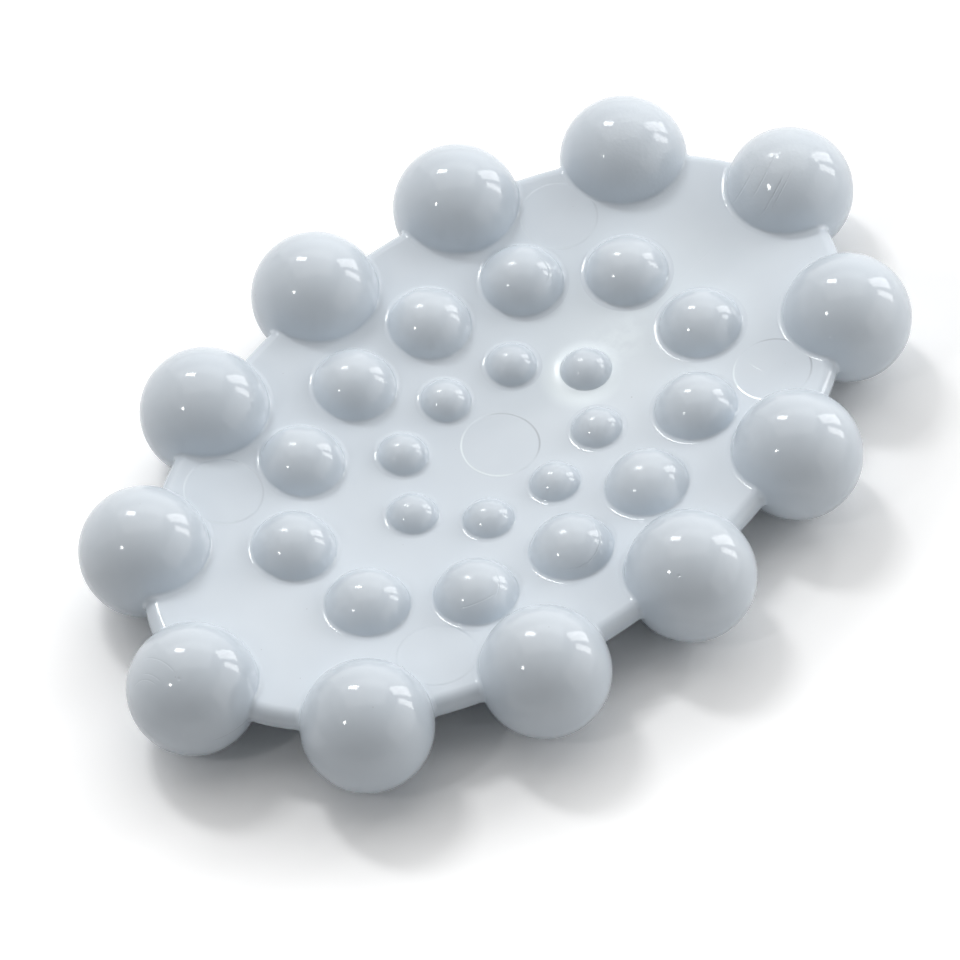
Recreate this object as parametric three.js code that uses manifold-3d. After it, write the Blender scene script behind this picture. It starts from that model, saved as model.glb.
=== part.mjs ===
// Soap dish: a shallow oval plate with a ring of balls slotted onto its rim, which are also its feet,
// and two rings of round studs that hold the soap clear of the wet.
// Millimetres, +Z up. The origin is on the table under the middle of the dish, and +X runs along it.

import * as THREE from 'three';
import { mergeVertices } from 'three/addons/utils/BufferGeometryUtils.js';
import Module from 'manifold-3d';

// The oval through the centres of the balls, which is also the plate's outline
const RIM_LENGTH = 130;
const RIM_WIDTH = 80;

// Plate: its top falls evenly from the rim and rounds off in the middle, and its underside runs parallel
// to it. Half of its thickness lies above and half below a height a little over the centres of the balls.
const PLATE_THICKNESS = 3.0;
const PLATE_LIFT = 0.5;
const DISH_DEPTH = 5.0;
const DISH_ROUNDING = 0.3;
const RIM_ROUND = 2.2;

// Round witness marks left on the plate by the pins that pushed it out of its mould
const PIN_MARK_DIAMETER = 12;
const PIN_MARK_RISE = 0.15;
const PIN_MARK_SPACING_X = 73.2;
const PIN_MARK_SPACING_Y = 45.4;

// Balls on the rim, each with a small flat to stand on
const BALL_COUNT = 12;
const BALL_DIAMETER = 20;
const FOOT_DIAMETER = 5;

// Studs: spherical caps in two rings, each with a spigot in a blind socket of the plate
const LARGE_STUD_COUNT = 12;
const LARGE_STUD_DIAMETER = 13;
const LARGE_STUD_HEIGHT = 5.0;
const LARGE_SPIGOT_DIAMETER = 5;
const SMALL_STUD_COUNT = 8;
const SMALL_STUD_DIAMETER = 8;
const SMALL_STUD_HEIGHT = 2.9;
const SMALL_SPIGOT_DIAMETER = 3.4;
const STUD_FLARE = 0.4;
const SOCKET_DEPTH = 1.4;

// The studs' rings are ovals similar to the rim, as shares of it. The large studs stand between the balls,
// and the small ones start on the long axis, as the balls do.
const LARGE_RING_SHARE = 0.592;
const SMALL_RING_SHARE = 0.292;
const ON_AXIS = 0;
const HALF_STEP = 0.5;

// Clearance left at every seat
const SEAT_GAP = 0.3;

// Facets
const PLATE_SIDES = 72;
const PLATE_RINGS = 4;
const ROUND_STEPS = 3;
const BALL_SIDES = 20;
const BALL_RINGS = 10;
const STUD_SIDES = 16;
const STUD_RINGS = 3;
const SOCKET_SIDES = 10;
const MARK_SIDES = 24;
const COLUMN_SIDES = 24;
const FOOT_POINTS = 24;

// Sizes worked out from those above
const halfLength = RIM_LENGTH / 2;
const halfWidth = RIM_WIDTH / 2;
const ballRadius = BALL_DIAMETER / 2;
const footRadius = FOOT_DIAMETER / 2;
const ballHeight = Math.sqrt(ballRadius ** 2 - footRadius ** 2);
const rimTop = ballHeight + PLATE_LIFT + PLATE_THICKNESS / 2;
const dishSlope = DISH_DEPTH / (Math.hypot(1, DISH_ROUNDING) - DISH_ROUNDING);

const plastic = { color: 0xd2dae2, roughness: 0.16, metalness: 0 };

const wasm = await Module();
wasm.setup();

// A closed geometry as a solid that can be cut and joined
function solidOf(geometry) {
  const bare = geometry.clone();
  bare.deleteAttribute('normal');
  bare.deleteAttribute('uv');
  const merged = mergeVertices(bare);
  const corners = merged.index.array;
  const triVerts = [];
  for (let i = 0; i < corners.length; i += 3) {
    const [a, b, c] = corners.subarray(i, i + 3);
    if (a !== b && b !== c && c !== a) triVerts.push(a, b, c);
  }
  const mesh = new wasm.Mesh({
    numProp: 3,
    vertProperties: merged.attributes.position.array,
    triVerts: new Uint32Array(triVerts),
  });
  return new wasm.Manifold(mesh);
}

// The solid back as a geometry
function geometryOf(solid) {
  const { vertProperties, triVerts } = solid.getMesh();
  const geometry = new THREE.BufferGeometry();
  geometry.setAttribute('position', new THREE.BufferAttribute(vertProperties, 3));
  geometry.setIndex(new THREE.BufferAttribute(triVerts, 1));
  geometry.computeVertexNormals();
  return geometry;
}

// A profile of (radius, height) points, from the axis below to the axis above, turned about +Z
function revolve(profile, sides) {
  return new THREE.LatheGeometry(profile, sides).rotateX(Math.PI / 2);
}

// An upright cylinder from the height low to the height high
function upright(diameter, low, high, sides) {
  const cylinder = new THREE.CylinderGeometry(diameter / 2, diameter / 2, high - low, sides);
  return cylinder.rotateX(Math.PI / 2).translate(0, 0, (low + high) / 2);
}

// How far the dish lies below its rim at a share of the way out from its middle: a cone with a round tip
function dip(share) {
  const climb = dishSlope * (Math.hypot(share, DISH_ROUNDING) - DISH_ROUNDING);
  return DISH_DEPTH - climb;
}

// The point of the dish's top over (x, y)
function onDish(x, y) {
  return new THREE.Vector3(x, y, rimTop - dip(Math.hypot(x / halfLength, y / halfWidth)));
}

// The seat of a piece that stands square on the dish at (x, y). A flat foot that reaches out from there
// bears on its edge, so the piece is raised by the most that the hollow dish climbs above the foot.
function seatOnDish(x, y, reach = 0) {
  const share = Math.hypot(x / halfLength, y / halfWidth);
  const steepness = dishSlope / Math.hypot(share, DISH_ROUNDING);
  const slopeX = (steepness * x) / halfLength ** 2;
  const slopeY = (steepness * y) / halfWidth ** 2;
  const normal = new THREE.Vector3(-slopeX, -slopeY, 1).normalize();
  const position = onDish(x, y);
  const rises = new THREE.EllipseCurve(x, y, reach, reach)
    .getPoints(FOOT_POINTS)
    .map((point) => onDish(point.x, point.y).sub(position).dot(normal));
  return {
    position: position.addScaledVector(normal, Math.max(...rises)),
    turn: new THREE.Quaternion().setFromUnitVectors(new THREE.Vector3(0, 0, 1), normal),
  };
}

// A seat at a point, for a piece that stands upright
function uprightSeat(x, y, z) {
  return { position: new THREE.Vector3(x, y, z), turn: new THREE.Quaternion() };
}

// Points at even steps along the oval that is a share of the rim's, starting part of a step past +X
function ovalPoints(share, count, start) {
  const oval = new THREE.EllipseCurve(0, 0, halfLength * share, halfWidth * share);
  return Array.from({ length: count }, (_, i) => oval.getPointAt((i + start) / count));
}

// The plate, with every face moved out by grow and its top raised by rise
function plateGeometry(grow, rise = 0) {
  const edge = halfLength + grow;
  const round = RIM_ROUND + grow;
  const top = rimTop + grow + rise;
  const underside = rimTop - PLATE_THICKNESS - grow;
  const profile = [];
  for (let i = 0; i <= PLATE_RINGS; i++) {
    const radius = (edge * i) / PLATE_RINGS;
    profile.push(new THREE.Vector2(radius, underside - dip(radius / edge)));
  }
  for (let i = 0; i < ROUND_STEPS; i++) {
    const angle = ((Math.PI / 2) * i) / ROUND_STEPS;
    const radius = edge - round * (1 - Math.cos(angle));
    profile.push(new THREE.Vector2(radius, top - dip(radius / edge) - round * (1 - Math.sin(angle))));
  }
  for (let i = PLATE_RINGS; i >= 0; i--) {
    const radius = ((edge - round) * i) / PLATE_RINGS;
    profile.push(new THREE.Vector2(radius, top - dip(radius / edge)));
  }
  return revolve(profile, PLATE_SIDES).scale(1, (halfWidth + grow) / edge, 1);
}

// The middle of the dish and the four corners where the mould's pins stood
function pinMarkCentres() {
  const centres = [new THREE.Vector2(0, 0)];
  for (const sideX of [-1, 1]) {
    for (const sideY of [-1, 1]) {
      centres.push(new THREE.Vector2((sideX * PIN_MARK_SPACING_X) / 2, (sideY * PIN_MARK_SPACING_Y) / 2));
    }
  }
  return centres;
}

// A cap, flared at its foot, over a spigot: height 0 is the dish's surface under it
function studGeometry(stud) {
  const baseRadius = stud.diameter / 2;
  const spigotRadius = stud.spigotDiameter / 2;
  const capRadius = (baseRadius ** 2 + stud.height ** 2) / (2 * stud.height);
  const capCentre = stud.height - capRadius;
  const widest = Math.acos((SEAT_GAP + STUD_FLARE - capCentre) / capRadius);
  const profile = [
    new THREE.Vector2(0, SEAT_GAP - SOCKET_DEPTH),
    new THREE.Vector2(spigotRadius, SEAT_GAP - SOCKET_DEPTH),
    new THREE.Vector2(spigotRadius, SEAT_GAP),
    new THREE.Vector2(baseRadius + STUD_FLARE, SEAT_GAP),
  ];
  for (let i = 0; i < STUD_RINGS; i++) {
    const angle = widest * (1 - i / STUD_RINGS);
    profile.push(new THREE.Vector2(capRadius * Math.sin(angle), capCentre + capRadius * Math.cos(angle)));
  }
  profile.push(new THREE.Vector2(0, stud.height));
  return revolve(profile, STUD_SIDES);
}

// The blind hole that takes a stud's spigot
function socketGeometry(stud) {
  return upright(stud.spigotDiameter + 2 * SEAT_GAP, -SOCKET_DEPTH, SOCKET_DEPTH, SOCKET_SIDES);
}

// A ball with a flat under it, its centre at the origin
function ballGeometry() {
  const lowest = Math.asin(-ballHeight / ballRadius);
  const profile = [new THREE.Vector2(0, -ballHeight)];
  for (let i = 0; i < BALL_RINGS; i++) {
    const latitude = lowest + ((Math.PI / 2 - lowest) * i) / BALL_RINGS;
    profile.push(new THREE.Vector2(ballRadius * Math.cos(latitude), ballRadius * Math.sin(latitude)));
  }
  profile.push(new THREE.Vector2(0, ballRadius));
  return revolve(profile, BALL_SIDES);
}

// A geometry made round the origin, as a solid on its seat
function seated(geometry, { position, turn }) {
  return solidOf(geometry.applyQuaternion(turn).translate(position.x, position.y, position.z));
}

const dish = new THREE.Group();

// A piece, cut to shape on its seat, hung in the scene by its seat's position and turn
function addPiece(name, solid, { position, turn }) {
  const geometry = geometryOf(solid).translate(-position.x, -position.y, -position.z);
  geometry.applyQuaternion(turn.clone().invert());
  const piece = new THREE.Mesh(geometry, new THREE.MeshStandardMaterial(plastic));
  piece.name = name;
  piece.position.copy(position);
  piece.quaternion.copy(turn);
  dish.add(piece);
}

const numbered = (name, i) => `${name}_${String(i + 1).padStart(2, '0')}`;

// The two kinds of stud, and where each of them sits on the dish
const studs = [
  {
    name: 'large_stud',
    diameter: LARGE_STUD_DIAMETER,
    height: LARGE_STUD_HEIGHT,
    spigotDiameter: LARGE_SPIGOT_DIAMETER,
    places: ovalPoints(LARGE_RING_SHARE, LARGE_STUD_COUNT, HALF_STEP),
  },
  {
    name: 'small_stud',
    diameter: SMALL_STUD_DIAMETER,
    height: SMALL_STUD_HEIGHT,
    spigotDiameter: SMALL_SPIGOT_DIAMETER,
    places: ovalPoints(SMALL_RING_SHARE, SMALL_STUD_COUNT, ON_AXIS),
  },
];

// Plate, with its pin marks and the sockets of the studs
let plate = solidOf(plateGeometry(0));
const raised = solidOf(plateGeometry(0, PIN_MARK_RISE));
for (const { x, y } of pinMarkCentres()) {
  const pin = upright(PIN_MARK_DIAMETER, 0, rimTop, MARK_SIDES).translate(x, y, 0);
  plate = plate.add(raised.intersect(solidOf(pin)));
}
for (const stud of studs) {
  for (const { x, y } of stud.places) {
    plate = plate.subtract(seated(socketGeometry(stud), seatOnDish(x, y)));
  }
}
addPiece('tray_plate', plate, uprightSeat(0, 0, 0));

// The round column that each piece on the plate keeps to itself: a later stud that reaches it is cut back
const columns = [];

function keepColumn(x, y, reach) {
  const column = upright(2 * (reach + SEAT_GAP), 0, BALL_DIAMETER, COLUMN_SIDES);
  columns.push({ x, y, reach, solid: seated(column, uprightSeat(x, y, 0)) });
}

// Balls, slotted over the rim
const rimSlot = solidOf(plateGeometry(SEAT_GAP));
ovalPoints(1, BALL_COUNT, ON_AXIS).forEach(({ x, y }, i) => {
  const seat = uprightSeat(x, y, ballHeight);
  addPiece(numbered('rim_ball', i), seated(ballGeometry(), seat).subtract(rimSlot), seat);
  keepColumn(x, y, ballRadius);
});

// Studs, standing square on the dish
for (const stud of studs) {
  const reach = stud.diameter / 2 + STUD_FLARE;
  stud.places.forEach(({ x, y }, i) => {
    const seat = seatOnDish(x, y, reach);
    const near = columns.filter((other) => Math.hypot(x - other.x, y - other.y) < reach + other.reach);
    const whole = seated(studGeometry(stud), seat);
    const solid = near.reduce((left, other) => left.subtract(other.solid), whole);
    addPiece(numbered(stud.name, i), solid, seat);
    keepColumn(x, y, reach);
  });
}

export default dish;
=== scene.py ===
# %% [markdown]
# # A soap dish of balls and studs
# The dish is an oval plate with a ring of balls on its rim, which are its ornament above and its feet
# below, and two rings of round studs that keep the soap out of the wet. It is moulded in one glossy, pale
# blue-grey plastic. The pieces already exist at their real size as plain solids. They are loaded first and
# never moved: everything below is built round them, in metres, so each new piece goes where its solid is.

# %% Load the fixed frame
import math

import bmesh
import bpy
from mathutils import Matrix, Vector


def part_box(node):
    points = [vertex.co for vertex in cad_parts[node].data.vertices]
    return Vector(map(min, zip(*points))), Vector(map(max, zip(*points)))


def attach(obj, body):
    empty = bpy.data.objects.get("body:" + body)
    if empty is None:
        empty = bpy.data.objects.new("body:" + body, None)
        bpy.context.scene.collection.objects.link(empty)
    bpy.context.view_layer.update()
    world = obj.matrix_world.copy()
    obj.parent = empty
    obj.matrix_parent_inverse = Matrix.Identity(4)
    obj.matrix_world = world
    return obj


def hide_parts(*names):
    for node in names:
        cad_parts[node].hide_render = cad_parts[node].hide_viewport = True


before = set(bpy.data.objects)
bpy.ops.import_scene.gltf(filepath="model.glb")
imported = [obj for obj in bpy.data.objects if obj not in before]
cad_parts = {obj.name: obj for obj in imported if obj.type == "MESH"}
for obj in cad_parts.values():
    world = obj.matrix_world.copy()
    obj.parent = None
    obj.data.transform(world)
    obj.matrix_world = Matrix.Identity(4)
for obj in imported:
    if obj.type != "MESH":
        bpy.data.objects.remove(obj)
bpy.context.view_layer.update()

# %% [markdown]
# ## Sizes
# A moulded dish is described by few sizes, and the rest follows from them. The oval's length and width and
# the balls' height come from the loaded solids. The plate's thickness, the depth of its dish and the balls'
# radius are written here, because a box round a solid doesn't show them.

# %% Sizes of the plate and the balls
MM = 0.001
PLATE_THICKNESS = 3.0 * MM
DISH_DEPTH = 5.0 * MM
DISH_ROUNDING = 0.3
BALL_RADIUS = 10 * MM

plate_low, plate_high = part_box("tray_plate")
half_length = plate_high.x
half_width = plate_high.y
rim_top = plate_low.z + DISH_DEPTH + PLATE_THICKNESS
ball_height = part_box("rim_ball_01")[1].z - BALL_RADIUS
cone_rise = DISH_DEPTH / (math.hypot(1, DISH_ROUNDING) - DISH_ROUNDING)


def rim_share(x, y):
    """How far out a point lies: 0 in the middle of the dish, 1 on its rim."""
    return math.hypot(x / half_length, y / half_width)


def dish_top(x, y):
    """Height of the plate's upper skin: a shallow cone with a round middle."""
    return rim_top - DISH_DEPTH + cone_rise * (math.hypot(rim_share(x, y), DISH_ROUNDING) - DISH_ROUNDING)


def dish_slope(x, y):
    """How steeply the plate's upper skin climbs along X and along Y."""
    steepness = cone_rise / math.hypot(rim_share(x, y), DISH_ROUNDING)
    return steepness * x / half_length**2, steepness * y / half_width**2


def dish_normal(x, y):
    """The direction that is square to the plate's upper skin."""
    along, across = dish_slope(x, y)
    return Vector((-along, -across, 1)).normalized()


print(f"rim top {rim_top / MM:.2f} mm, dish's middle {dish_top(0, 0) / MM:.2f} mm")
print(f"ball centres {ball_height / MM:.2f} mm")

# %% [markdown]
# ## Places of the balls and studs
# Balls and studs stand at even steps along three similar ovals. Even angles would crowd them at the ends of
# an oval, so the steps are measured along its line: a fine polygon is walked, and a point is set down at
# each step. The places are then held against the solids, and how far each lies from its solid's middle is
# printed.

# %% Even steps along an oval
OVAL_CORNERS = 3600
BALL_COUNT = 12
LARGE_STUD_COUNT = 12
SMALL_STUD_COUNT = 8
LARGE_RING_SHARE = 0.592
SMALL_RING_SHARE = 0.292
ON_AXIS = 0
HALF_STEP = 0.5


def oval_point(share, turn):
    """The point of an oval, which is a share of the rim's, at a part of a turn."""
    angle = 2 * math.pi * turn
    return Vector((half_length * share * math.cos(angle), half_width * share * math.sin(angle)))


def even_points(share, count, start):
    """Points at even steps along an oval, the first of them part of a step past +X."""
    corners = [oval_point(share, i / OVAL_CORNERS) for i in range(OVAL_CORNERS + 1)]
    sides = [(b - a).length for a, b in zip(corners, corners[1:])]
    step = sum(sides) / count
    points = []
    walked = 0
    for corner, side in zip(corners, sides):
        if len(points) < count and walked + side > (len(points) + start) * step:
            points.append(corner)
        walked += side
    return points


ball_places = even_points(1, BALL_COUNT, ON_AXIS)
large_places = even_points(LARGE_RING_SHARE, LARGE_STUD_COUNT, HALF_STEP)
small_places = even_points(SMALL_RING_SHARE, SMALL_STUD_COUNT, ON_AXIS)

for kind, places in (("rim_ball", ball_places), ("large_stud", large_places), ("small_stud", small_places)):
    offsets = []
    for i, place in enumerate(places, start=1):
        low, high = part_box(f"{kind}_{i:02d}")
        offsets.append(((low + high).xy / 2 - place).length)
    print(f"{kind}: {len(places)} places, at most {max(offsets) / MM:.2f} mm from their solids' middles")

# %% [markdown]
# ## Camera
# The picture looks down on the dish from its front left with a long lens, so lines hardly converge. The
# angles and the distance come from fitting the outlines of the twelve balls. A camera looks along its own
# -Z with +Y up, so its turn is put together from the direction to the dish, and a small roll is added last.

# %% Camera
CAMERA_AZIMUTH = math.radians(-42.31)
CAMERA_ELEVATION = math.radians(52.31)
CAMERA_ROLL = math.radians(-4.23)
CAMERA_POSITION = Vector((-413.46, -449.02, 788.42)) * MM
CAMERA_LENS = 243.75
SENSOR_WIDTH = 36
NEAREST_SEEN = 0.01
FARTHEST_SEEN = 100


def direction(azimuth, elevation):
    """The direction from the dish to a place round it: azimuth 0 is the front, along -Y."""
    flat = math.cos(elevation)
    return Vector((math.sin(azimuth) * flat, -math.cos(azimuth) * flat, math.sin(elevation)))


lens = bpy.data.cameras.new("camera")
lens.lens = CAMERA_LENS
lens.sensor_width = SENSOR_WIDTH
lens.clip_start = NEAREST_SEEN
lens.clip_end = FARTHEST_SEEN
camera = bpy.data.objects.new("camera", lens)
bpy.context.collection.objects.link(camera)
away = direction(CAMERA_AZIMUTH, CAMERA_ELEVATION)
turn = away.to_track_quat("Z", "Y").to_matrix() @ Matrix.Rotation(CAMERA_ROLL, 3, "Z")
camera.matrix_world = Matrix.Translation(CAMERA_POSITION) @ turn.to_4x4()
bpy.context.scene.camera = camera
print(f"camera right {[round(x, 3) for x in turn.col[0]]}, up {[round(x, 3) for x in turn.col[1]]}")

# %% [markdown]
# ## Floor and surroundings
# The dish stands on a white table that has no edge. A white diffuse plane takes the shadows, and the camera
# sees it a little brighter than it is for the light that spreads. Further out from the dish it also glows,
# for the camera and for reflections, so that it comes out white where nothing shades it, without more light
# on the dish. The world does the same: white for the eye, and a dim grey as a source of light.

# %% Floor and world
FLOOR_SIZE = 8
FLOOR_SPREADS = 0.9
FLOOR_SEEN = 1.1
FLOOR_GLOW = 0.3
GLOW_CENTRE = Vector((9, -8, 0)) * MM
GLOW_STARTS = 1.15
GLOW_FULL = 1.65
WORLD_LIGHT = 0.09
WORLD_SEEN = 1

scene = bpy.context.scene
scene.view_settings.view_transform = "Standard"


def add_node(tree, kind):
    return tree.nodes.new(kind)


def seen_directly(tree):
    """A value that is 1 for the camera, reflections and glass, and 0 for light that spreads."""
    path = add_node(tree, "ShaderNodeLightPath")
    mirrored = add_node(tree, "ShaderNodeMath")
    mirrored.operation = "MAXIMUM"
    tree.links.new(path.outputs["Is Camera Ray"], mirrored.inputs[0])
    tree.links.new(path.outputs["Is Glossy Ray"], mirrored.inputs[1])
    either = add_node(tree, "ShaderNodeMath")
    either.operation = "MAXIMUM"
    tree.links.new(mirrored.outputs[0], either.inputs[0])
    tree.links.new(path.outputs["Is Transmission Ray"], either.inputs[1])
    return either.outputs[0]


floor_mesh = bpy.data.meshes.new("floor")
bm = bmesh.new()
bmesh.ops.create_grid(bm, x_segments=1, y_segments=1, size=FLOOR_SIZE / 2)
bm.to_mesh(floor_mesh)
bm.free()
floor = bpy.data.objects.new("floor", floor_mesh)
bpy.context.collection.objects.link(floor)

paper = bpy.data.materials.new("white table")
paper.use_nodes = True
tree = paper.node_tree
tree.nodes.clear()
seen = seen_directly(tree)
white = add_node(tree, "ShaderNodeBsdfDiffuse")
white_level = add_node(tree, "ShaderNodeMapRange")
white_level.inputs["To Min"].default_value = FLOOR_SPREADS
white_level.inputs["To Max"].default_value = FLOOR_SEEN
path = add_node(tree, "ShaderNodeLightPath")
tree.links.new(path.outputs["Is Camera Ray"], white_level.inputs["Value"])
tree.links.new(white_level.outputs["Result"], white.inputs["Color"])
on_floor = add_node(tree, "ShaderNodeTexCoord")
oval = add_node(tree, "ShaderNodeVectorMath")
oval.operation = "MULTIPLY_ADD"
oval.inputs[1].default_value = (1 / half_length, 1 / half_width, 0)
oval.inputs[2].default_value = (-GLOW_CENTRE.x / half_length, -GLOW_CENTRE.y / half_width, 0)
tree.links.new(on_floor.outputs["Object"], oval.inputs[0])
reach = add_node(tree, "ShaderNodeVectorMath")
reach.operation = "LENGTH"
tree.links.new(oval.outputs[0], reach.inputs[0])
fade = add_node(tree, "ShaderNodeMapRange")
fade.interpolation_type = "SMOOTHSTEP"
fade.inputs["From Min"].default_value = GLOW_STARTS
fade.inputs["From Max"].default_value = GLOW_FULL
fade.inputs["To Max"].default_value = FLOOR_GLOW
tree.links.new(reach.outputs["Value"], fade.inputs["Value"])
glow = add_node(tree, "ShaderNodeEmission")
glow_level = add_node(tree, "ShaderNodeMath")
glow_level.operation = "MULTIPLY"
tree.links.new(seen, glow_level.inputs[0])
tree.links.new(fade.outputs["Result"], glow_level.inputs[1])
tree.links.new(glow_level.outputs[0], glow.inputs["Strength"])
lit = add_node(tree, "ShaderNodeAddShader")
tree.links.new(white.outputs[0], lit.inputs[0])
tree.links.new(glow.outputs[0], lit.inputs[1])
surface = add_node(tree, "ShaderNodeOutputMaterial")
tree.links.new(lit.outputs[0], surface.inputs["Surface"])
floor_mesh.materials.append(paper)

world = bpy.data.worlds.new("studio")
scene.world = world
world.use_nodes = True
tree = world.node_tree
tree.nodes.clear()
sky = add_node(tree, "ShaderNodeBackground")
sky_level = add_node(tree, "ShaderNodeMapRange")
sky_level.inputs["To Min"].default_value = WORLD_LIGHT
sky_level.inputs["To Max"].default_value = WORLD_SEEN
tree.links.new(seen_directly(tree), sky_level.inputs["Value"])
tree.links.new(sky_level.outputs["Result"], sky.inputs["Strength"])
surround = add_node(tree, "ShaderNodeOutputWorld")
tree.links.new(sky.outputs[0], surround.inputs["Surface"])
print(f"floor {FLOOR_SIZE} m square, world light {WORLD_LIGHT}")

# %% [markdown]
# ## Lamps
# Each ball is a small mirror, so the gloss tells where the lamps stood. Every one shows a short bright
# streak high on its left, a tall window at its right that a bar splits in two, a pin-point on its left, and
# pale walls behind with a crisp upper edge. So there is a long lamp behind, two panes at the right, a tiny
# lamp at the left and large panels behind. Two more panels above and two fills at the right are so wide
# that they hardly show in the gloss, and only lift the plate. The shadows ask for more light from behind
# than the soft streaks do, so part of the long lamp's light comes from a backing that isn't mirrored. All
# are far away against the dish's size, so that every ball shows them alike.

# %% Lamps
LAMP_DISTANCE = 1.5
AIM = Vector((0, 0, ball_height))


def softbox(name, azimuth, elevation, width, height, power, roll=0):
    """A soft rectangular lamp that faces the dish from a direction given in degrees."""
    light = bpy.data.lights.new(name, "AREA")
    light.shape = "RECTANGLE"
    light.size = width
    light.size_y = height
    light.energy = power
    lamp = bpy.data.objects.new(name, light)
    bpy.context.collection.objects.link(lamp)
    back = direction(math.radians(azimuth), math.radians(elevation))
    turn = back.to_track_quat("Z", "Y").to_matrix() @ Matrix.Rotation(math.radians(roll), 3, "Z")
    lamp.matrix_world = Matrix.Translation(AIM + back * LAMP_DISTANCE) @ turn.to_4x4()
    lamp.visible_camera = False
    print(f"{name}: {width} by {height} m, {power} W")
    return lamp


softbox("key lamp", 164.7, 51.2, 0.37, 0.18, 3, roll=-49)
key_backing = softbox("key lamp's backing", 164.7, 51.2, 0.34, 0.165, 2, roll=-49)
key_backing.visible_glossy = False
softbox("window pane", 84, 23, 0.38, 0.92, 4.5)
softbox("window side pane", 64.5, 20.5, 0.24, 0.74, 2.5)
softbox("left lamp", -101.2, 45, 0.115, 0.115, 1.2)
softbox("back panel", 132, 29, 2.6, 1.5, 8)
softbox("back top panel", 140, 65, 1.9, 1.5, 7.3)
softbox("left panel", -158, 22, 1.4, 1.4, 2.1)
softbox("left top panel", -140, 62, 1.6, 1.3, 2.1)
softbox("right fill", 32, 20, 1.9, 1.2, 5.2)
softbox("right low fill", 55, 12, 1.4, 0.8, 1.2)

# %% [markdown]
# ## From a bmesh to a piece
# Each piece is shaped in a bmesh and then becomes an object that stands for one solid of the frame. All its
# faces are smooth, and an edge is left hard only where two faces really meet at an angle.

# %% Finishing a piece
HARD_EDGE = math.radians(25)
SEAM_WIDTH = 0.001 * MM


def close_skin(bm):
    """Merges the seams and poles that spinning leaves, and turns every face outwards."""
    bmesh.ops.remove_doubles(bm, verts=bm.verts, dist=SEAM_WIDTH)
    bmesh.ops.recalc_face_normals(bm, faces=bm.faces)
    for face in bm.faces:
        face.smooth = True
    for edge in bm.edges:
        edge.smooth = edge.calc_face_angle(0) < HARD_EDGE


def make_piece(bm, name, node, material):
    """Makes a finished bmesh an object in place of a frame's solid, and frees it."""
    mesh = bpy.data.meshes.new(name)
    bm.to_mesh(mesh)
    bm.free()
    mesh.materials.append(material)
    piece = bpy.data.objects.new(name, mesh)
    bpy.context.collection.objects.link(piece)
    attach(piece, "root")
    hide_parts(node)
    return piece


def spin_round(bm, outline, arcs):
    """Turns an outline about Z, in one or more arcs of (angle, steps) that make up a whole turn."""
    for angle, steps in arcs:
        spun = bmesh.ops.spin(
            bm, geom=outline, cent=(0, 0, 0), axis=(0, 0, 1), angle=angle, steps=steps,
            use_merge=len(arcs) == 1,
        )
        outline = spun["geom_last"]


class Outline:
    """Half a cross-section in the XZ plane, drawn vertex by vertex from the top of the axis."""

    def __init__(self, bm, height):
        self.bm = bm
        self.tip = bm.verts.new((0, 0, height))

    def line(self, x, z, parts=1):
        """A straight stretch to (x, z), in equal parts."""
        start = self.tip.co.copy()
        end = Vector((x, 0, z))
        for part in range(1, parts + 1):
            grown = bmesh.ops.extrude_vert_indiv(self.bm, verts=[self.tip])
            self.tip = grown["verts"][0]
            self.tip.co = start.lerp(end, part / parts)

    def arc(self, x, z, angle, steps):
        """A round stretch about the centre (x, z): a positive angle turns from +Z towards +X."""
        spun = bmesh.ops.spin(
            self.bm, geom=[self.tip], cent=(x, 0, z), axis=(0, 1, 0), angle=angle, steps=steps
        )
        self.tip = next(part for part in spun["geom_last"] if isinstance(part, bmesh.types.BMVert))

    def parts(self):
        return self.bm.verts[:] + self.bm.edges[:]


print("a piece is spun from an outline")

# %% [markdown]
# ## Building blocks for the plastic
# The plastic's looks are written as small networks of nodes. A few helpers keep them short: one feeds a
# socket from a link or a plain value, the others add a sum, a soft step, a distance or a noise. Everything
# is measured in object coordinates. All pieces stand at the origin of the frame, so these are metres in the
# dish.

# %% Helpers for nodes
def feed(tree, socket, value):
    """Links a socket to another one, or sets it to a plain value."""
    if isinstance(value, bpy.types.NodeSocket):
        tree.links.new(value, socket)
    else:
        socket.default_value = value


def calculate(tree, operation, first, second):
    node = add_node(tree, "ShaderNodeMath")
    node.operation = operation
    feed(tree, node.inputs[0], first)
    feed(tree, node.inputs[1], second)
    return node.outputs[0]


def soft_step(tree, value, start, end, first=0.0, last=1.0):
    """Goes smoothly from a first value to a last one while another value goes from start to end."""
    node = add_node(tree, "ShaderNodeMapRange")
    node.interpolation_type = "SMOOTHSTEP"
    feed(tree, node.inputs["Value"], value)
    feed(tree, node.inputs["From Min"], start)
    feed(tree, node.inputs["From Max"], end)
    feed(tree, node.inputs["To Min"], first)
    feed(tree, node.inputs["To Max"], last)
    return node.outputs["Result"]


def distance(tree, first, second):
    node = add_node(tree, "ShaderNodeVectorMath")
    node.operation = "DISTANCE"
    feed(tree, node.inputs[0], first)
    feed(tree, node.inputs[1], second)
    return node.outputs["Value"]


def noise(tree, position, grain_size, detail=2):
    """A smooth random value, about 0.5 on average, whose grains have a size in metres."""
    node = add_node(tree, "ShaderNodeTexNoise")
    feed(tree, node.inputs["Vector"], position)
    node.inputs["Scale"].default_value = 1 / grain_size
    node.inputs["Detail"].default_value = detail
    return node.outputs["Fac"]


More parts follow.
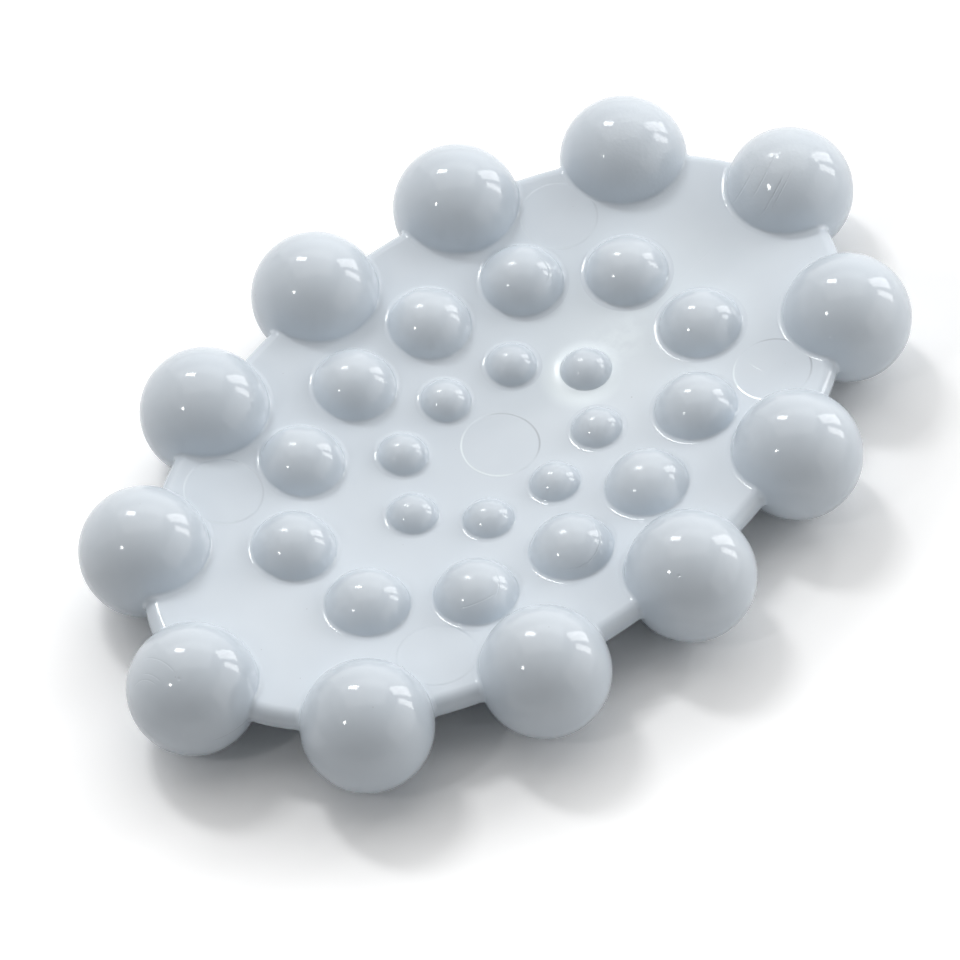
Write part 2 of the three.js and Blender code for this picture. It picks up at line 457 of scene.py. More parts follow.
def start_group(name, inputs, outputs):
    """An empty node group with named sockets, and its input and output nodes."""
    group = bpy.data.node_groups.new(name, "ShaderNodeTree")
    for label, kind in inputs.items():
        group.interface.new_socket(label, in_out="INPUT", socket_type=f"NodeSocket{kind}")
    for label in outputs:
        group.interface.new_socket(label, in_out="OUTPUT", socket_type="NodeSocketFloat")
    return group, add_node(group, "NodeGroupInput").outputs, add_node(group, "NodeGroupOutput").inputs


def use_group(tree, group, values):
    node = add_node(tree, "ShaderNodeGroup")
    node.node_tree = group
    for label, value in values.items():
        feed(tree, node.inputs[label], value)
    return node.outputs


print("helpers for sums, steps, distances, noises and groups")

# %% [markdown]
# ## Moulded skin
# Plastic shrinks a little unevenly when it cools in its mould, so a glossy skin is never a perfect mirror:
# broad waves bend the edges of a reflected window, and a fine grain like orange peel breaks up small
# highlights. The group gives both as a height in metres, and a cloudy value that makes the colour and the
# gloss a little uneven.

# %% Moulded skin
WAVE_LENGTH = 4.5 * MM
GRAIN_LENGTH = 0.7 * MM
CLOUD_LENGTH = 18 * MM
CLOUD_LOWEST = 0.3
CLOUD_HIGHEST = 0.7

moulded_skin, given, made = start_group(
    "moulded skin",
    {"Position": "Vector", "Wave Height": "Float", "Grain Height": "Float"},
    ("Height", "Cloud"),
)
waves = noise(moulded_skin, given["Position"], WAVE_LENGTH, 1)
grains = noise(moulded_skin, given["Position"], GRAIN_LENGTH, 1)
wave_part = calculate(moulded_skin, "MULTIPLY", waves, given["Wave Height"])
grain_part = calculate(moulded_skin, "MULTIPLY", grains, given["Grain Height"])
feed(moulded_skin, made["Height"], calculate(moulded_skin, "ADD", wave_part, grain_part))
cloud = noise(moulded_skin, given["Position"], CLOUD_LENGTH, 3)
feed(moulded_skin, made["Cloud"], soft_step(moulded_skin, cloud, CLOUD_LOWEST, CLOUD_HIGHEST))
print(f"moulded skin: {len(moulded_skin.nodes)} nodes")

# %% [markdown]
# ## Flow lines
# Where two streams of molten plastic meet, or where a stream wrinkles as it freezes, a fine line stays in
# the skin. The group draws one such line: the part of a ring about a centre that lies within reach of a
# middle point. A ring is easy to give on a curved skin, because it is just the place at one distance, and a
# very large ring is straight.

# %% Flow line
FADE_STARTS = 0.5

flow_line, given, made = start_group(
    "flow line",
    {"Position": "Vector", "Centre": "Vector", "Ring": "Float", "Middle": "Vector", "Reach": "Float",
     "Width": "Float"},
    ("Line",),
)
from_centre = distance(flow_line, given["Position"], given["Centre"])
from_ring = calculate(flow_line, "SUBTRACT", from_centre, given["Ring"])
off_line = calculate(flow_line, "ABSOLUTE", from_ring, 0.0)
core = soft_step(flow_line, off_line, 0.0, given["Width"], 1.0, 0.0)
from_middle = distance(flow_line, given["Position"], given["Middle"])
share = calculate(flow_line, "DIVIDE", from_middle, given["Reach"])
ends = soft_step(flow_line, share, FADE_STARTS, 1.0, 1.0, 0.0)
feed(flow_line, made["Line"], calculate(flow_line, "MULTIPLY", core, ends))
print(f"flow line: {len(flow_line.nodes)} nodes")

# %% [markdown]
# ## Soft spots and specks
# Two more groups are shared. A soft spot is a round or oval patch that fades out at its edge; it places
# dimples, rougher patches and the pale patches round the gate, where the plastic was injected, which are
# partly blush and partly painted highlight and painted light. Specks are grains of dust and soap: each cell
# of a random net holds a tiny dot, and about half of the dots are left out.

# %% Soft spot and specks
SPECK_CELL = 9 * MM
SPECK_SIZE = 0.016
SPECK_SHARE = 0.45

soft_spot, given, made = start_group(
    "soft spot", {"Position": "Vector", "Centre": "Vector", "Size": "Vector", "Core": "Float"}, ("Spot",)
)
offset = add_node(soft_spot, "ShaderNodeVectorMath")
offset.operation = "SUBTRACT"
feed(soft_spot, offset.inputs[0], given["Position"])
feed(soft_spot, offset.inputs[1], given["Centre"])
sized = add_node(soft_spot, "ShaderNodeVectorMath")
sized.operation = "DIVIDE"
feed(soft_spot, sized.inputs[0], offset.outputs[0])
feed(soft_spot, sized.inputs[1], given["Size"])
radius = distance(soft_spot, sized.outputs[0], (0, 0, 0))
feed(soft_spot, made["Spot"], soft_step(soft_spot, radius, given["Core"], 1.0, 1.0, 0.0))

specks, given, made = start_group("specks", {"Position": "Vector"}, ("Specks",))
cells = add_node(specks, "ShaderNodeTexVoronoi")
cells.voronoi_dimensions = "2D"
cells.inputs["Scale"].default_value = 1 / SPECK_CELL
feed(specks, cells.inputs["Vector"], given["Position"])
chance = add_node(specks, "ShaderNodeSeparateColor")
feed(specks, chance.inputs[0], cells.outputs["Color"])
dot_size = calculate(specks, "MULTIPLY", chance.outputs["Green"], SPECK_SIZE)
dots = soft_step(specks, cells.outputs["Distance"], 0.0, dot_size, 1.0, 0.0)
kept = calculate(specks, "LESS_THAN", chance.outputs["Red"], SPECK_SHARE)
feed(specks, made["Specks"], calculate(specks, "MULTIPLY", dots, kept))
print(f"soft spot: {len(soft_spot.nodes)} nodes, specks: {len(specks.nodes)} nodes")

# %% [markdown]
# ## One plastic, three skins
# All pieces are the same pale blue-grey plastic with a clear gloss. What differs is the skin, which shows
# how each piece left the mould and was used; the tray's skin also carries painted highlights, painted light
# and painted shade. So one function starts a plastic and another finishes it, and each of the next three
# cells lays its own marks between the two.

# %% Start and finish of a plastic
PLASTIC_PALE = (0.692, 0.752, 0.81, 1)
PLASTIC_DEEP = (0.655, 0.718, 0.78, 1)
SPECK_COLOUR = (0.30, 0.31, 0.32, 1)
GLOSSIEST = 0.07
DULLEST = 0.11
LINE_WIDTH = 0.16 * MM
PLASTIC_IOR = 1.5


def start_plastic(name):
    """A new plastic: the material, its node tree and the position on the skin."""
    material = bpy.data.materials.new(name)
    material.use_nodes = True
    tree = material.node_tree
    tree.nodes["Principled BSDF"].inputs["IOR"].default_value = PLASTIC_IOR
    return material, tree, add_node(tree, "ShaderNodeTexCoord").outputs["Object"]


def mix_colours(tree, share, first, second):
    node = add_node(tree, "ShaderNodeMix")
    node.data_type = "RGBA"
    feed(tree, node.inputs[0], share)
    feed(tree, node.inputs[6], first)
    feed(tree, node.inputs[7], second)
    return node.outputs[2]


def finish_plastic(material, colour, roughness, height):
    """Feeds the plastic's shader. The height is in metres and becomes a bump."""
    tree = material.node_tree
    shader = tree.nodes["Principled BSDF"]
    feed(tree, shader.inputs["Base Color"], colour)
    feed(tree, shader.inputs["Roughness"], roughness)
    bump = add_node(tree, "ShaderNodeBump")
    bump.inputs["Distance"].default_value = 1
    feed(tree, bump.inputs["Height"], height)
    feed(tree, shader.inputs["Normal"], bump.outputs["Normal"])
    print(f"{material.name}: {len(tree.nodes)} nodes")


def draw_line(tree, position, centre, middle, reach, width):
    """A value that is 1 on a ring about a centre, near the middle point that it goes through."""
    values = {
        "Position": position,
        "Centre": centre,
        "Ring": (middle - centre).length,
        "Middle": middle,
        "Reach": reach,
        "Width": width,
    }
    return use_group(tree, flow_line, values)["Line"]


def draw_spot(tree, position, centre, size, core=0.0):
    """A value that is 1 in the core of an oval patch and fades out towards its edge."""
    values = {"Position": position, "Centre": centre, "Size": size, "Core": core}
    return use_group(tree, soft_spot, values)["Spot"]


def wear_skin(tree, position, waves, grains):
    """The moulded skin with waves and grains of the given heights."""
    values = {"Position": position, "Wave Height": waves, "Grain Height": grains}
    return use_group(tree, moulded_skin, values)


def cut_lines(tree, position, height, lines):
    """Cuts flow lines into a height. A line is a ring's centre, a middle, a reach and a depth, in mm."""
    for centre, middle, reach, depth in lines:
        line = draw_line(tree, position, Vector(centre) * MM, Vector(middle) * MM, reach * MM, LINE_WIDTH)
        height = calculate(tree, "SUBTRACT", height, calculate(tree, "MULTIPLY", line, depth * MM))
    return height


print(f"plastic: roughness {GLOSSIEST} to {DULLEST}, lines {LINE_WIDTH / MM:.2f} mm to each side")

# %% [markdown]
# ## The tray's skin
# The plate was filled through a gate under one of the small studs. There the plastic came in hottest, and a
# pale, duller blush is left round the stud, with a painted highlight at its lower-left foot. A broad pale
# patch reaches from the gate to the end of the dish: partly blush, partly painted light that brightens that
# end, with paler uneven patches along it. The pins that push the dish out of its mould leave five round
# marks, with a painted highlight as a pale line on one side and painted shade as a dark line in the step on
# the other. Two fine lines and a scatter of specks show use.

# %% Tray plastic
TRAY_WAVES = 0.016 * MM
TRAY_GRAINS = 0.0006 * MM
# Pale colour for the gate's blush and for the painted highlights and painted light round the gate and pin
# marks.
BLUSH_AND_PAINTED_LIGHT_COLOUR = (0.89, 0.965, 1, 1)
BLUSH_ROUGHNESS = 0.2
GATE = Vector((small_places[0].x, 0, dish_top(small_places[0].x, 0)))
HALO_CENTRE = GATE + Vector((-1.6, -0.3, 0)) * MM
HALO_SIZE = Vector((7, 7, 7)) * MM
HALO_CORE = 0.5
# Partly blush, partly painted light: a broad pale patch that brightens the dish's +X end.
BLOOM_CENTRE = GATE + Vector((10, 0, 0)) * MM
BLOOM_SIZE = Vector((34, 24, 34)) * MM
BLUSH_AND_PAINTED_LIGHT_SHARE = 0.42
STREAM_CENTRE = GATE + Vector((7, 0, 0)) * MM
STREAM_SIZE = Vector((10, 5.5, 10)) * MM
STREAM_GRAIN = 2 * MM
STREAM_SHARE = 0.55
PATCHES_START = 0.3
PATCHES_FULL = 0.7
PIN_MARK_RADIUS = 6 * MM
PIN_MARK_SPACING_X = 73.2 * MM
PIN_MARK_SPACING_Y = 45.4 * MM
PIN_MARK_LINE = 0.26 * MM
PIN_MARK_REACH = 8.5 * MM
# Painted shade: the dark line on one side of each pin mark.
PAINTED_SHADE_COLOUR = (0.36, 0.39, 0.43, 1)
PAINTED_SHADE_SHARE = 0.7
# Painted highlight: the pale line on the other side of each pin mark.
PAINTED_HIGHLIGHT_SHARE = 1
MARK_SHARES = (1, 0, 0.35, 0.8, 0.25)
DUST_SHARE = 0.8
STRAIGHT = 200
TRAY_LINES = (
    ((44, 0.7 - STRAIGHT, 9.7), (44, 0.7, 9.7), 5, 0.015),
    ((35.3 + STRAIGHT, -20.4, 10), (35.3, -20.4, 10), 1.8, 0.02),
)

mark_places = [Vector((0, 0))]
for side_x in (-1, 1):
    for side_y in (-1, 1):
        mark_places.append(Vector((side_x * PIN_MARK_SPACING_X / 2, side_y * PIN_MARK_SPACING_Y / 2)))


def on_dish(x, y):
    return Vector((x, y, dish_top(x, y)))


tray_plastic, tree, position = start_plastic("tray plastic")
skin = wear_skin(tree, position, TRAY_WAVES, TRAY_GRAINS)
# Blush and painted highlight: a pale patch round the gate stud's foot, heaviest at its lower-left.
blush_and_painted_highlight = draw_spot(tree, position, HALO_CENTRE, HALO_SIZE, HALO_CORE)
# Partly blush, partly painted light: a broad pale patch that brightens the dish's +X end.
blush_and_painted_light = draw_spot(tree, position, BLOOM_CENTRE, BLOOM_SIZE)
# Paler uneven patches from the gate towards the +X end.
stream = draw_spot(tree, position, STREAM_CENTRE, STREAM_SIZE)
uneven = noise(tree, position, STREAM_GRAIN)
patches = soft_step(tree, uneven, PATCHES_START, PATCHES_FULL, 0.0, STREAM_SHARE)
dust = use_group(tree, specks, {"Position": position})["Specks"]
colour = mix_colours(tree, skin["Cloud"], PLASTIC_DEEP, PLASTIC_PALE)
colour = mix_colours(tree, calculate(tree, "MULTIPLY", blush_and_painted_light, BLUSH_AND_PAINTED_LIGHT_SHARE), colour, BLUSH_AND_PAINTED_LIGHT_COLOUR)
colour = mix_colours(tree, calculate(tree, "MULTIPLY", stream, patches), colour, BLUSH_AND_PAINTED_LIGHT_COLOUR)
colour = mix_colours(tree, blush_and_painted_highlight, colour, BLUSH_AND_PAINTED_LIGHT_COLOUR)
# Each pin mark gets painted shade as a dark line on its +X side and a painted highlight as a pale line on its
# -X side.
for place, strength in zip(mark_places, MARK_SHARES):
    for side, tint, share in ((1, PAINTED_SHADE_COLOUR, PAINTED_SHADE_SHARE), (-1, BLUSH_AND_PAINTED_LIGHT_COLOUR, PAINTED_HIGHLIGHT_SHARE)):
        middle = on_dish(place.x + side * PIN_MARK_RADIUS, place.y)
        line = draw_line(tree, position, on_dish(*place), middle, PIN_MARK_REACH, PIN_MARK_LINE)
        colour = mix_colours(tree, calculate(tree, "MULTIPLY", line, share * strength), colour, tint)
colour = mix_colours(tree, calculate(tree, "MULTIPLY", dust, DUST_SHARE), colour, SPECK_COLOUR)
height = cut_lines(tree, position, skin["Height"], TRAY_LINES)
gloss = soft_step(tree, skin["Cloud"], 0.0, 1.0, GLOSSIEST, DULLEST)
blush_gloss = soft_step(tree, blush_and_painted_highlight, 0.0, 1.0, gloss, BLUSH_ROUGHNESS)
finish_plastic(tray_plastic, colour, blush_gloss, height)

# %% [markdown]
# ## The balls' skin
# The balls are the last places that the mould fills. One of them shows wrinkles of the freezing stream, a
# faint line where the mould's halves met, and a dimple that gives a lamp a second reflection. Two at the
# far end took on the mould's rough spots, so their highlights fall apart into grains, and one of these is
# scratched.

# %% Ball plastic
BALL_WAVES = 0.02 * MM
BALL_GRAINS = 0.0006 * MM
ROUGH_GRAINS = 0.036 * MM
BALL_DUST_SHARE = 0.5
WRINKLE_CENTRE = (-73, 0.5, 14)
SCRATCH_CENTRE = (-15, 164, 89.7)
BALL_LINES = (
    (WRINKLE_CENTRE, (-72, 3.1, 16.1), 3.6, 0.02),
    (WRINKLE_CENTRE, (-70.9, 1.8, 17.5), 2.2, 0.02),
    (WRINKLE_CENTRE, (-68.7, 2.2, 18.6), 3.8, 0.02),
    ((-67, -9.5, 9.8 - STRAIGHT), (-66, -9.8, 9.8), 4.5, -0.06),
    (SCRATCH_CENTRE, (59.6, -3.5, 17.4), 4.5, 0.05),
    (SCRATCH_CENTRE, (58, -2.8, 16.3), 5, 0.06),
    (SCRATCH_CENTRE, (59.6, 0.1, 18.1), 4.5, 0.05),
    (SCRATCH_CENTRE, (57.5, 2.4, 15.8), 5, 0.04),
)
DIMPLES = ((-69.15, -2.19, 18.49), (-5.54, -42.87, 17.57))
DIMPLE_SIZE = Vector((0.4, 0.4, 0.4)) * MM
DIMPLE_DEPTH = 0.05 * MM
ROUGH_END = Vector((60, 12, 18)) * MM
ROUGH_END_SIZE = Vector((24, 26, 20)) * MM
ROUGH_END_CORE = 0.4

ball_plastic, tree, position = start_plastic("ball plastic")
rough_end = draw_spot(tree, position, ROUGH_END, ROUGH_END_SIZE, ROUGH_END_CORE)
grain = soft_step(tree, rough_end, 0.0, 1.0, BALL_GRAINS, ROUGH_GRAINS)
skin = wear_skin(tree, position, BALL_WAVES, grain)
height = cut_lines(tree, position, skin["Height"], BALL_LINES)
for dimple in DIMPLES:
    spot = draw_spot(tree, position, Vector(dimple) * MM, DIMPLE_SIZE)
    height = calculate(tree, "SUBTRACT", height, calculate(tree, "MULTIPLY", spot, DIMPLE_DEPTH))
dust = use_group(tree, specks, {"Position": position})["Specks"]
colour = mix_colours(tree, skin["Cloud"], PLASTIC_DEEP, PLASTIC_PALE)
colour = mix_colours(tree, calculate(tree, "MULTIPLY", dust, BALL_DUST_SHARE), colour, SPECK_COLOUR)
gloss = soft_step(tree, skin["Cloud"], 0.0, 1.0, GLOSSIEST, DULLEST)
finish_plastic(ball_plastic, colour, gloss, height)

# %% [markdown]
# ## The studs' skin
# Soap rubs on the crowns of the studs and takes some gloss off them, while their flanks stay bright. How
# worn a place is comes from an attribute that is stored in the studs' meshes. Three of the large studs also
# have a curved line, where the streams met beside the crown.

# %% Stud plastic
STUD_WAVES = 0.022 * MM
STUD_GRAINS = 0.001 * MM
WORN = 0.18
STUD_LINES = (
    ((-9.5, -23.4, 14.1), (-8, -28, 12.2), 7, 0.045),
    ((-25.8, -18.5, 14.1), (-22.1, -21.6, 13.2), 2.6, 0.03),
    ((-23.3, -14.4, 14.1), (-26.6, -21.8, 12.9), 3.6, 0.03),
    ((24.4, 15.9, 14.1), (26.8, 15.4, 12.9), 3.4, 0.035),
)

stud_plastic, tree, position = start_plastic("stud plastic")
skin = wear_skin(tree, position, STUD_WAVES, STUD_GRAINS)
height = cut_lines(tree, position, skin["Height"], STUD_LINES)
crown = add_node(tree, "ShaderNodeAttribute")
crown.attribute_name = "worn"
colour = mix_colours(tree, skin["Cloud"], PLASTIC_DEEP, PLASTIC_PALE)
gloss = soft_step(tree, skin["Cloud"], 0.0, 1.0, GLOSSIEST, DULLEST)
worn_gloss = soft_step(tree, crown.outputs["Fac"], 0.0, 1.0, gloss, WORN)
finish_plastic(stud_plastic, colour, worn_gloss, height)

# %% [markdown]
# ## Plate
# The plate is a bowl of even thickness with a rounded upper rim and a crisp lower one. Its profile is drawn
# once and spun into a round blank. Scaling that to an oval would squeeze the rim's rounding at the sides,
# so each vertex is laid on the oval by its distance from the rim instead. The faces round the pin marks are
# divided finely, the marks are raised by an S-shaped step, and last of all every vertex is lifted by the
# dish's own formula.

# %% Plate
PLATE_SIDES = 288
PLATE_RINGS = 40
RIM_ROUND = 2.2 * MM
RIM_ROUND_STEPS = 16
LOWER_EDGE_BREAK = 0.15 * MM
LOWER_EDGE_STEPS = 3
QUARTER = math.pi / 2


def spin_blank():
    """The plate's profile, spun into a round blank with a flat top at height 0."""
    bm = bmesh.new()
    profile = Outline(bm, 0)
    profile.line(half_length - RIM_ROUND, 0, PLATE_RINGS)
    profile.arc(half_length - RIM_ROUND, -RIM_ROUND, QUARTER, RIM_ROUND_STEPS)
    profile.line(half_length, LOWER_EDGE_BREAK - PLATE_THICKNESS)
    profile.arc(half_length - LOWER_EDGE_BREAK, LOWER_EDGE_BREAK - PLATE_THICKNESS, QUARTER, LOWER_EDGE_STEPS)
    profile.line(0, -PLATE_THICKNESS, PLATE_RINGS)
    spin_round(bm, profile.parts(), ((2 * math.pi, PLATE_SIDES),))
    bmesh.ops.remove_doubles(bm, verts=bm.verts, dist=SEAM_WIDTH)
    return bm


def lay_on_oval(vert):
    """Moves a vertex of the round blank to the oval, keeping its distance from the rim near the rim."""
    radius = vert.co.xy.length
    if radius == 0:
        return
    across = vert.co.xy / radius
    rim = Vector((half_length * across.x, half_width * across.y))
    outward = Vector((across.x / half_length, across.y / half_width)).normalized()
    inset = min(half_length - radius, RIM_ROUND)
    inner = min(radius / (half_length - RIM_ROUND), 1)
    vert.co.xy = (rim - outward * inset) * inner


bm = spin_blank()
for vert in bm.verts:
    lay_on_oval(vert)
print(f"plate's blank: {len(bm.faces)} faces")

# %% [markdown]
# ## Pin marks
# The five pin marks stand a hair proud of the plate, so their edges catch the light. A bump map would look
# the same from afar, but here the step is real. So is the low swelling round the gate: the plate rises
# towards the foot of the stud there, steepest beside it. Both are laid on faces that are divided finely
# first.

# %% Pin marks, and the finished plate
PIN_MARK_RISE = 0.045 * MM
PIN_MARK_EDGE = 0.38 * MM
PIN_MARK_CUTS = 11
MOUND_INNER = 4.2 * MM
MOUND_OUTER = 6.0 * MM
MOUND_RISE = 0.15 * MM
MOUND_CUTS = 5
LEVEL = 0.001 * MM
SHORT_EDGE = 0.3 * MM
ANY_EDGE = 0


def mark_distance(point):
    """How far a point lies outside the nearest pin mark's outline, negative inside it."""
    return min((point.xy - place).length for place in mark_places) - PIN_MARK_RADIUS


def mark_rise(point):
    """How far the pin marks lift the plate's upper skin: a flat top with an S-shaped edge."""
    climb = min(max(0.5 - mark_distance(point) / PIN_MARK_EDGE, 0), 1)
    return PIN_MARK_RISE * climb * climb * (3 - 2 * climb)


def gate_distance(point):
    return (point.xy - GATE.xy).length


def mound_rise(point):
    """How far the plate swells up towards the stud over the gate."""
    climb = min(max((MOUND_OUTER - gate_distance(point)) / (MOUND_OUTER - MOUND_INNER), 0), 1)
    return MOUND_RISE * climb * climb


def divide_top(bm, measure, low, high, cuts, shortest):
    """Divides the upper skin's faces between two limits of a measure, but leaves short edges whole."""
    edges = set()
    for face in bm.faces:
        measures = [measure(vert.co) for vert in face.verts]
        on_top = all(abs(vert.co.z) < LEVEL for vert in face.verts)
        if on_top and min(measures) < high and max(measures) > low:
            edges.update(edge for edge in face.edges if edge.calc_length() > shortest)
    bmesh.ops.subdivide_edges(bm, edges=list(edges), cuts=cuts, use_grid_fill=True)


divide_top(bm, mark_distance, -PIN_MARK_EDGE, PIN_MARK_EDGE, PIN_MARK_CUTS, SHORT_EDGE)
divide_top(bm, gate_distance, MOUND_INNER, MOUND_OUTER, MOUND_CUTS, ANY_EDGE)
for vert in bm.verts:
    if abs(vert.co.z) < LEVEL:
        vert.co.z += mark_rise(vert.co) + mound_rise(vert.co)
    vert.co.z += dish_top(*vert.co.xy)
close_skin(bm)
plate = make_piece(bm, "plate", "tray_plate", tray_plastic)
print(f"plate: {len(plate.data.polygons)} faces, {len(mark_places)} pin marks")

# %% [markdown]
# ## Balls
# Each ball is a sphere that meets the plate in a tight corner with a gentle skirt round it, as a moulded
# foot does. The sphere is spun with narrow rings where the plate crosses it. Then every vertex near the
# plate is moved sideways, away from the ball, onto the two arcs that lead from the sphere to the plate's
# skin. The plate's distance is worked out for its upper skin, its rounded rim and its underside, so the
# foot runs round the rim as well.

# %% Balls
CORNER_ROUND = 0.55 * MM
SKIRT_ROUND = 2.2 * MM
SKIRT_LEAN = math.radians(16)
CORNER_PART = 0.5
FILLET_TUCK = 0.5 * MM
OVERLAP = 0.3 * MM
OVERLAP_SINK = 0.012
BAND_TOP = 3.0 * MM
BAND_BOTTOM = -3.1 * MM
CAP_STEPS = 22
BAND_STEPS = 116
SOLE_STEPS = 14
WALL_ARC = math.radians(28)
WALL_STEPS = 44
OPEN_STEPS = 92


def rounded_corner(past_rim, outward, past_face, facing, rounding):
    """Distance outside the corner between the rim's wall and a face of the plate, and the direction away."""
    aside = past_rim + rounding
    beyond = past_face + rounding
    if aside > 0 and beyond > 0:
        reach = math.hypot(aside, beyond)
        return reach - rounding, (outward * aside + facing * beyond) / reach
    if aside > beyond:
        return past_rim, outward
    return past_face, facing


def plate_skin(point):
    """How far a point lies outside the plate's skin, and the direction away from it."""
    x, y, z = point
    share = rim_share(x, y)
    outward = Vector((x / half_length**2, y / half_width**2, 0))
    past_rim = (share - 1) * share / outward.length
    outward.normalize()
    up = dish_normal(x, y)
    above = (z - dish_top(x, y)) * up.z
    upper = rounded_corner(past_rim, outward, above, up, RIM_ROUND)
    lower = rounded_corner(past_rim, outward, -above - PLATE_THICKNESS, -up, LOWER_EDGE_BREAK)
    return max(upper, lower, key=lambda found: found[0])


def foot_height(lean):
    """How high a foot climbs on a wall that leans back by an angle."""
    skirt_start = QUARTER - SKIRT_LEAN
    return CORNER_ROUND * (math.sin(skirt_start) - math.sin(lean)) + SKIRT_ROUND * (1 - math.sin(skirt_start))


def foot_curve(lean, along):
    """A point of a foot's curve, as its reach and its height, from 0 on the wall to 1 on the plate."""
    skirt_start = QUARTER - SKIRT_LEAN
    if along < CORNER_PART:
        bend = lean + along / CORNER_PART * (skirt_start - lean)
        reach = CORNER_ROUND * (math.cos(lean) - math.cos(bend))
        return reach, foot_height(lean) - CORNER_ROUND * (math.sin(bend) - math.sin(lean))
    bend = skirt_start + (along - CORNER_PART) / (1 - CORNER_PART) * SKIRT_LEAN
    reach = CORNER_ROUND * (math.cos(lean) - math.cos(skirt_start))
    return reach + SKIRT_ROUND * (math.cos(skirt_start) - math.cos(bend)), SKIRT_ROUND * (1 - math.sin(bend))


def swell_into_plate(bm, centre):
    """Moves the vertices of a sphere near the plate onto a foot that is tangent to both."""
    for vert in bm.verts:
        if vert.co.z > rim_top + SKIRT_ROUND:
            continue
        gap, away = plate_skin(vert.co)
        if gap > SKIRT_ROUND:
            continue
        normal = (vert.co - centre).normalized()
        lean = math.asin(normal.dot(away))
        climb = foot_height(lean)
        depth = climb - gap
        if depth <= 0:
            continue
        reach, height = foot_curve(lean, min(depth / (climb + FILLET_TUCK), 1))
        push = reach - depth * math.tan(lean)
        past = -FILLET_TUCK - gap
        if past > 0:
            push += min(past, OVERLAP)
            height = -OVERLAP_SINK * min(past, OVERLAP) - max(past - OVERLAP, 0)
        vert.co += (normal - away * normal.dot(away)).normalized() * push
        gap, away = plate_skin(vert.co)
        vert.co += away * (height - gap)
    for edge in bm.edges:
        edge.smooth = edge.calc_face_angle(0) < HARD_EDGE


def spin_sphere():
    """A ball with a flat foot round the origin, its fine stretches where the plate's rim will cross it."""
    bm = bmesh.new()
    outline = Outline(bm, BALL_RADIUS)
    to_band = math.acos(BAND_TOP / BALL_RADIUS)
    through_band = math.acos(BAND_BOTTOM / BALL_RADIUS) - to_band
    to_foot = math.acos(-ball_height / BALL_RADIUS) - to_band - through_band
    outline.arc(0, 0, to_band, CAP_STEPS)
    outline.arc(0, 0, through_band, BAND_STEPS)
    outline.arc(0, 0, to_foot, SOLE_STEPS)
    outline.line(0, -ball_height)
    open_arc = math.pi - WALL_ARC
    arcs = ((open_arc / 2, OPEN_STEPS // 2), (WALL_ARC, WALL_STEPS), (open_arc, OPEN_STEPS))
    arcs += ((WALL_ARC, WALL_STEPS), (open_arc / 2, OPEN_STEPS // 2))
    spin_round(bm, outline.parts(), arcs)
    close_skin(bm)
    return bm


def make_ball(sphere, place, number):
    bm = sphere.copy()
    inward = math.atan2(-place.y / half_width**2, -place.x / half_length**2)
    bmesh.ops.rotate(bm, verts=bm.verts, cent=(0, 0, 0), matrix=Matrix.Rotation(inward, 3, "Z"))
    centre = Vector((place.x, place.y, ball_height))
    bmesh.ops.translate(bm, verts=bm.verts, vec=centre)
    swell_into_plate(bm, centre)
    return make_piece(bm, f"ball_{number:02d}", f"rim_ball_{number:02d}", ball_plastic)


sphere = spin_sphere()
balls = [make_ball(sphere, place, number) for number, place in enumerate(ball_places, start=1)]
print(f"{len(balls)} balls of {len(balls[0].data.polygons)} faces")

# %% [markdown]
# ## Studs
# A stud is a cap of a sphere. Like the balls it meets the plate in a tight corner with a gentle skirt round
# it, so it is spun from three arcs that touch: the cap, the corner and the skirt. A stud is made upright,
# then turned square to the dish, and its foot is bent to the dish's curve. How worn the crown is goes into
# an attribute, and some studs were less in use than the others.

# %% Studs
STUD_OVERLAP = 0.2 * MM
STUD_SINK = 0.01 * MM
STUD_DEPTH = 0.3 * MM
STUD_SIDES = 112
CAP_ARC_STEPS = 24
CORNER_STEPS = 10
SKIRT_STEPS = 6
LARGE_STUD_RADIUS = 6.5 * MM
LARGE_STUD_HEIGHT = 5.0 * MM
SMALL_STUD_RADIUS = 4.0 * MM
SMALL_STUD_HEIGHT = 2.9 * MM
LEAST_WORN = ("stud_large_01", "stud_large_07", "stud_large_11", "stud_large_12")
WORN_FROM = 0.8


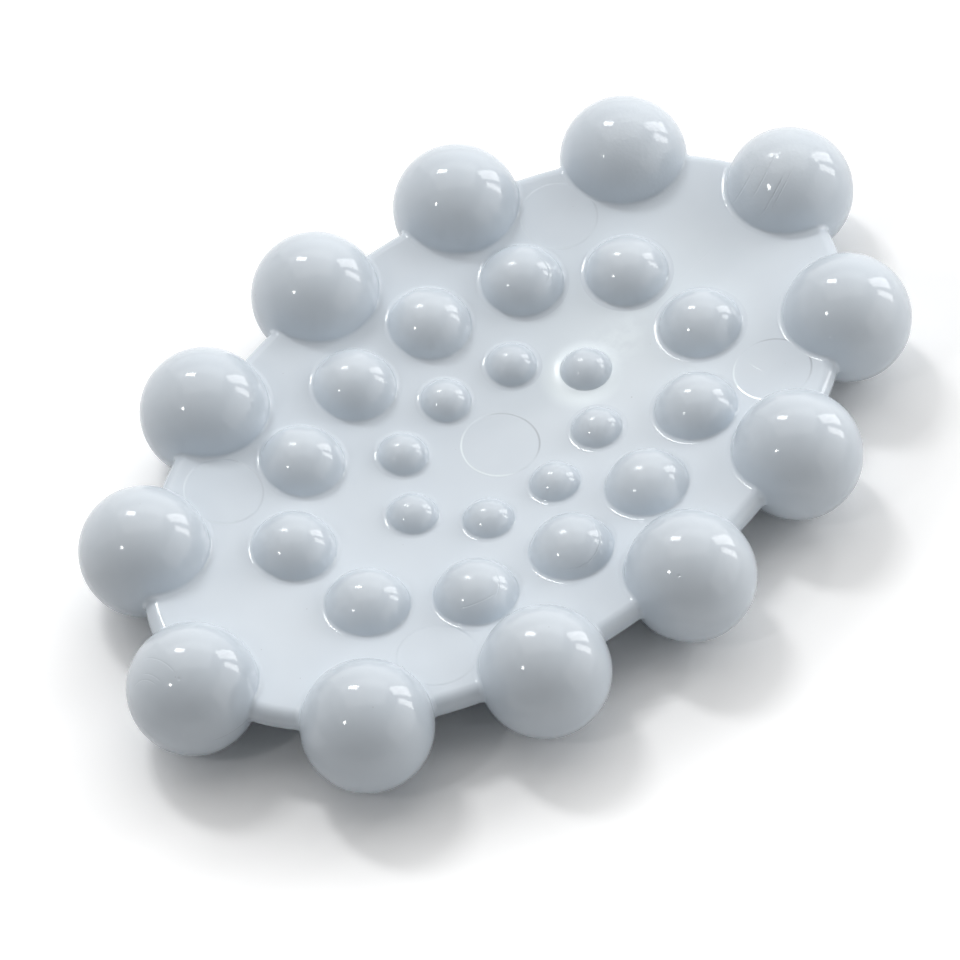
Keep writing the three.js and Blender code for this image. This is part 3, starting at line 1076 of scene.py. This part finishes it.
def stud_outline(bm, base, height):
    cap = (base**2 + height**2) / (2 * height)
    centre = height - cap
    corner_z = SKIRT_ROUND - (SKIRT_ROUND - CORNER_ROUND) * math.cos(SKIRT_LEAN)
    corner_x = math.sqrt((cap + CORNER_ROUND) ** 2 - (corner_z - centre) ** 2)
    foot = corner_x + (SKIRT_ROUND - CORNER_ROUND) * math.sin(SKIRT_LEAN)
    lean = math.atan2(corner_x, corner_z - centre)
    outline = Outline(bm, height)
    outline.arc(0, centre, lean, CAP_ARC_STEPS)
    outline.arc(corner_x, corner_z, SKIRT_LEAN - lean, CORNER_STEPS)
    outline.arc(foot, SKIRT_ROUND, -SKIRT_LEAN, SKIRT_STEPS)
    outline.line(foot + STUD_OVERLAP, -STUD_SINK)
    outline.line(foot + STUD_OVERLAP, -STUD_DEPTH)
    outline.line(0, -STUD_DEPTH)
    return outline.parts()


def follow_dish(bm, x, y):
    """Stands a piece square on the dish, and bends its foot to the dish's curve."""
    upright = Vector((0, 0, 1)).rotation_difference(dish_normal(x, y))
    bmesh.ops.rotate(bm, verts=bm.verts, cent=(0, 0, 0), matrix=upright.to_matrix())
    bmesh.ops.translate(bm, verts=bm.verts, vec=(x, y, 0))
    along, across = dish_slope(x, y)
    for vert in bm.verts:
        vert.co.z += dish_top(*vert.co.xy) - along * (vert.co.x - x) - across * (vert.co.y - y)


def make_stud(place, name, node, base, height):
    bm = bmesh.new()
    spin_round(bm, stud_outline(bm, base, height), ((2 * math.pi, STUD_SIDES),))
    close_skin(bm)
    worn = bm.verts.layers.float.new("worn")
    for vert in bm.verts:
        crown = min(max((vert.co.z / height - WORN_FROM) / (1 - WORN_FROM), 0), 1)
        vert[worn] = 0 if name in LEAST_WORN else crown * crown * (3 - 2 * crown)
    follow_dish(bm, place.x, place.y)
    return make_piece(bm, name, node, stud_plastic)


studs = []
for size, places, base, height in (
    ("large", large_places, LARGE_STUD_RADIUS, LARGE_STUD_HEIGHT),
    ("small", small_places, SMALL_STUD_RADIUS, SMALL_STUD_HEIGHT),
):
    for number, place in enumerate(places, start=1):
        studs.append(make_stud(place, f"stud_{size}_{number:02d}", f"{size}_stud_{number:02d}", base, height))
print(f"{len(studs)} studs of {len(studs[0].data.polygons)} faces")
